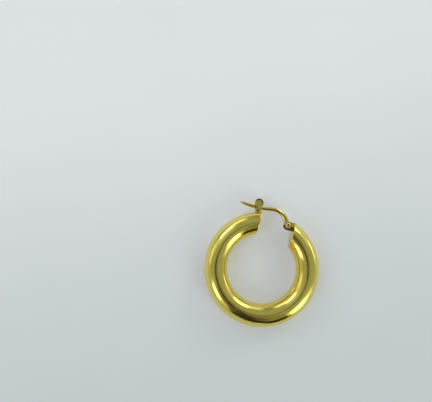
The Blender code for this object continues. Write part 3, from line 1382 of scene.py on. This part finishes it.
@dataclass
class Studio:
    """Pale table top, soft surroundings and the camera."""

    sensor: float = 36.0
    focal_share: float = 500 / 432
    camera_place: Triple = (-0.011961, -0.000993, 0.11245)
    camera_lean: float = -0.82
    camera_pitch: float = 5.99
    near_limit: float = 0.001
    far_limit: float = 10.0
    table_half: float = 0.7
    # The table's colour paints its uneven light: paler where more light falls, darker where less
    # does, and it glows to lighten its shadows.
    table_light_fall: Triple = (350, -35.0, 55.0)
    table_cloud: float = 0.25
    table_relief: float = 0.00002
    table_shaded_colour: Colour = (0.595, 0.618, 0.685)
    table_lit_colour: Colour = (0.795, 0.795, 0.885)
    table_glow: float = 0.28
    overhead: Colour = (0.355, 0.393, 0.340)
    skirting: Colour = (0.510, 0.540, 0.560)
    backdrop: Colour = (0.700, 0.740, 0.760)
    panels: tuple[Panel, ...] = (
        Panel(318, 12, 22, 42, (0.66, 0.70, 0.76), 8, 8),
        Panel(303, 10, 36, 60, (0.62, 0.62, 0.60), 8, 8),
        Panel(320, 9, 45, 62, (2.8, 3.0, 3.6), 6, 6),
        Panel(338, 7, 54, 74, (1.25, 1.35, 1.3), 6, 6),
        Panel(0, 6, 50, 80, (0.27, 0.28, 0.22), 5, 6),
        Panel(20, 11, 62, 83, (0.95, 1.00, 1.1), 7, 7),
        Panel(54, 13, 55, 82, (0.64, 0.70, 0.80), 9, 8),
        Panel(40, 8, 55, 74, (4.8, 5.2, 3.2), 5, 6),
        Panel(73, 8, 78, 97, (1.60, 1.70, 1.5), 7, 6),
        Panel(123, 8, 56, 85, (1.05, 1.15, 1.3), 9, 9),
        Panel(132, 8, 46, 75, (4.4, 4.8, 3.1), 5, 8),
        Panel(225, 9, 38, 62, (0.68, 0.66, 0.50), 7, 7),
        Panel(239, 8, 37, 62, (2.8, 3.0, 3.2), 6, 6),
        Panel(268, 10, 60, 82, (0.52, 0.52, 0.45), 8, 6),
        Panel(289, 11, 51, 76, (0.95, 0.98, 0.90), 8, 8),
        Panel(304, 14, 78, 96, (0.33, 0.33, 0.30), 8, 6),
        Panel(156, 8, 10, 50, (0.24, 0.22, 0.16), 6, 6),
        Panel(158, 13, 55, 87, (0.034, 0.030, 0.018), 4, 5),
        Panel(194, 18, 5, 67, (0.034, 0.032, 0.034), 5, 4),
        Panel(187, 8, 50, 72, (0.034, 0.030, 0.024), 4, 4),
        Panel(177, 8, 50, 75, (0.030, 0.024, 0.018), 4, 4),
        Panel(222, 11, 8, 33, (0.20, 0.185, 0.15), 7, 6),
        Panel(206, 6, 14, 38, (0.13, 0.12, 0.10), 5, 6),
        Panel(172, 7, 4, 48, (0.125, 0.09, 0.13), 4, 6),
    )
    spots: tuple[Spot, ...] = (
        Spot(188, 4.2, 6.0, 2.5, (0.035, 0.032, 0.028)),
        Spot(78, 11.0, 6.0, 4.0, (0.20, 0.20, 0.15)),
        Spot(262, 11.0, 3.0, 2.0, (0.12, 0.11, 0.08)),
    )

    def build_table(self) -> None:
        """Make the table top."""
        half = self.table_half / METRES
        corners = [Vector((x, y, 0)) * half for x, y in ((-1, -1), (1, -1), (1, 1), (-1, 1))]
        mesh = Skin(corners, [(0, 1, 2, 3)], [0.0] * 4).mesh("table_top")
        mesh.transform(Matrix.Scale(METRES, 4))
        material, graph = blank_material("pale_table")
        place = graph.millimetres()
        azimuth, near, far = self.table_light_fall
        # Painted light: the table's colour grows paler towards one side, where more light falls.
        lean = graph.dot(place, tuple(sky_direction(azimuth, 90))).step(near, far)
        cloud = (graph.noise(place, 0.03, 3.0) - 0.5) * self.table_cloud
        colour = graph.mix(lean + cloud, self.table_shaded_colour, self.table_lit_colour)
        fine = graph.noise(place, 3.0, 3.0)
        raised = {"Distance": self.table_relief, "Strength": 0.4, "Height": fine}
        graph.surface(
            {
                "Base Color": colour,
                "Roughness": 0.62 + fine * 0.1,
                "Normal": graph.node("ShaderNodeBump", None, raised).outputs[0],
                "Specular IOR Level": 0.2,
                # Painted light: the table glows with its own colour, which lightens its shadows.
                "Emission Color": colour,
                "Emission Strength": self.table_glow,
            }
        )
        mesh.materials.append(material)
        table = bpy.data.objects.new("table_top", mesh)
        bpy.context.scene.collection.objects.link(table)

    def build_surroundings(self) -> None:
        """Make the soft surroundings that light the table and show in the metal."""
        world = bpy.data.worlds.new("soft_surroundings")
        world.use_nodes = True
        graph = Graph(world.node_tree)
        way = graph.node("ShaderNodeTexCoord").outputs["Generated"]
        height = graph.dot(way, (0, 0, 1))
        colour = graph.mix(height.step(0.0, 0.6), self.skirting, self.overhead)
        level = graph.vector("NORMALIZE", graph.vector("MULTIPLY", way, (1, 1, 0)))
        tilt = height.math("ARCCOSINE", height) * math.degrees(1)
        for panel in self.panels:
            below = tilt.step(panel.top - panel.end_blur, panel.top + panel.end_blur)
            above = tilt.step(panel.bottom + panel.end_blur, panel.bottom - panel.end_blur)
            ahead = graph.dot(level, tuple(sky_direction(panel.azimuth, 90)))
            outside = math.cos(math.radians(panel.half_width + panel.side_blur))
            inside = math.cos(math.radians(max(0.0, panel.half_width - panel.side_blur)))
            mask = below * above * ahead.step(outside, inside)
            colour = graph.mix(mask, colour, panel.glow)
        for spot in self.spots:
            near = graph.dot(way, tuple(sky_direction(spot.azimuth, spot.tilt)))
            outside = math.cos(math.radians(spot.radius + spot.blur))
            inside = math.cos(math.radians(spot.radius - spot.blur))
            colour = graph.mix(near.step(outside, inside), colour, spot.glow)
        seen = Signal(graph, graph.node("ShaderNodeLightPath").outputs["Is Camera Ray"])
        colour = graph.mix(seen, colour, self.backdrop)
        shader = graph.node("ShaderNodeBackground", None, {"Color": colour, "Strength": 1.0})
        graph.node("ShaderNodeOutputWorld", None, {"Surface": shader.outputs[0]})
        bpy.context.scene.world = world

    def build_camera(self) -> None:
        """Stand the camera above the table, at the photograph's angle."""
        lens = bpy.data.cameras.new("camera")
        lens.sensor_width = self.sensor
        lens.sensor_fit = "HORIZONTAL"
        lens.lens = self.sensor * self.focal_share
        lens.clip_start = self.near_limit
        lens.clip_end = self.far_limit
        camera = bpy.data.objects.new("camera", lens)
        place = Matrix.Translation(self.camera_place)
        turn = Matrix.Rotation(PHOTO_TURN, 4, "Z")
        lean = Matrix.Rotation(math.radians(self.camera_lean), 4, "Y")
        pitch = Matrix.Rotation(math.radians(self.camera_pitch), 4, "X")
        camera.matrix_world = place @ (turn @ lean @ pitch)
        bpy.context.scene.collection.objects.link(camera)
        bpy.context.scene.camera = camera

    def build(self) -> None:
        """Set the whole studio."""
        self.build_table()
        self.build_surroundings()
        self.build_camera()
        bpy.context.scene.view_settings.view_transform = "Standard"
        log.info("studio: table top, surroundings and camera")


def main() -> None:
    """Build the earring's pieces and the studio."""
    logging.basicConfig(level=logging.INFO, format="%(name)s: %(message)s")
    tube = HoopTube()
    hinge = Hinge()
    catch = Catch()
    wire = EarWire()
    axis = hinge.axis(tube)
    bench = Bench(Vector(frame["joints"][0]["pos_m"]) - axis * METRES)
    # Painted reflection: orange blooms on the tube by its hinge end stand in for orange reflected
    # there.
    cap_painted_reflection = (
        HeatTintAndReflection((4.70, 5.38, 4.0), 1.15, 0.35, 0.85),
        HeatTintAndReflection((5.69, 4.60, 4.07), 1.3, 0.3, 0.65),
    )
    foot_heat = (HeatTintAndReflection((-4.19, 11.19, 3.3), 0.48, 0.12, 0.80),)
    gold = BuffedMetal("buffed_gold", (0.87, 0.720, 0.175), (0.84, 0.680, 0.150), cap_painted_reflection)
    stamped = BuffedMetal(
        "stamped_gold", (0.84, 0.70, 0.21), (0.80, 0.65, 0.17), foot_heat, gloss=0.24
    )
    drawn = BuffedMetal("drawn_gold", (0.74, 0.59, 0.18), (0.62, 0.455, 0.13), gloss=0.15)
    peened = BuffedMetal("peened_gold", (0.82, 0.58, 0.18), (0.70, 0.46, 0.13), gloss=0.16)
    stamped_gold = stamped.build()
    tube.build(bench, gold.build(), VentShade().build())
    hinge.build_ears(bench, tube, stamped_gold)
    hinge.build_rivet(bench, tube, peened.build())
    catch.build(bench, tube, wire, axis, stamped_gold)
    wire.build(bench, axis, catch.seat(tube, wire), drawn.build())
    Studio().build()


if __name__ == "__main__":
    main()
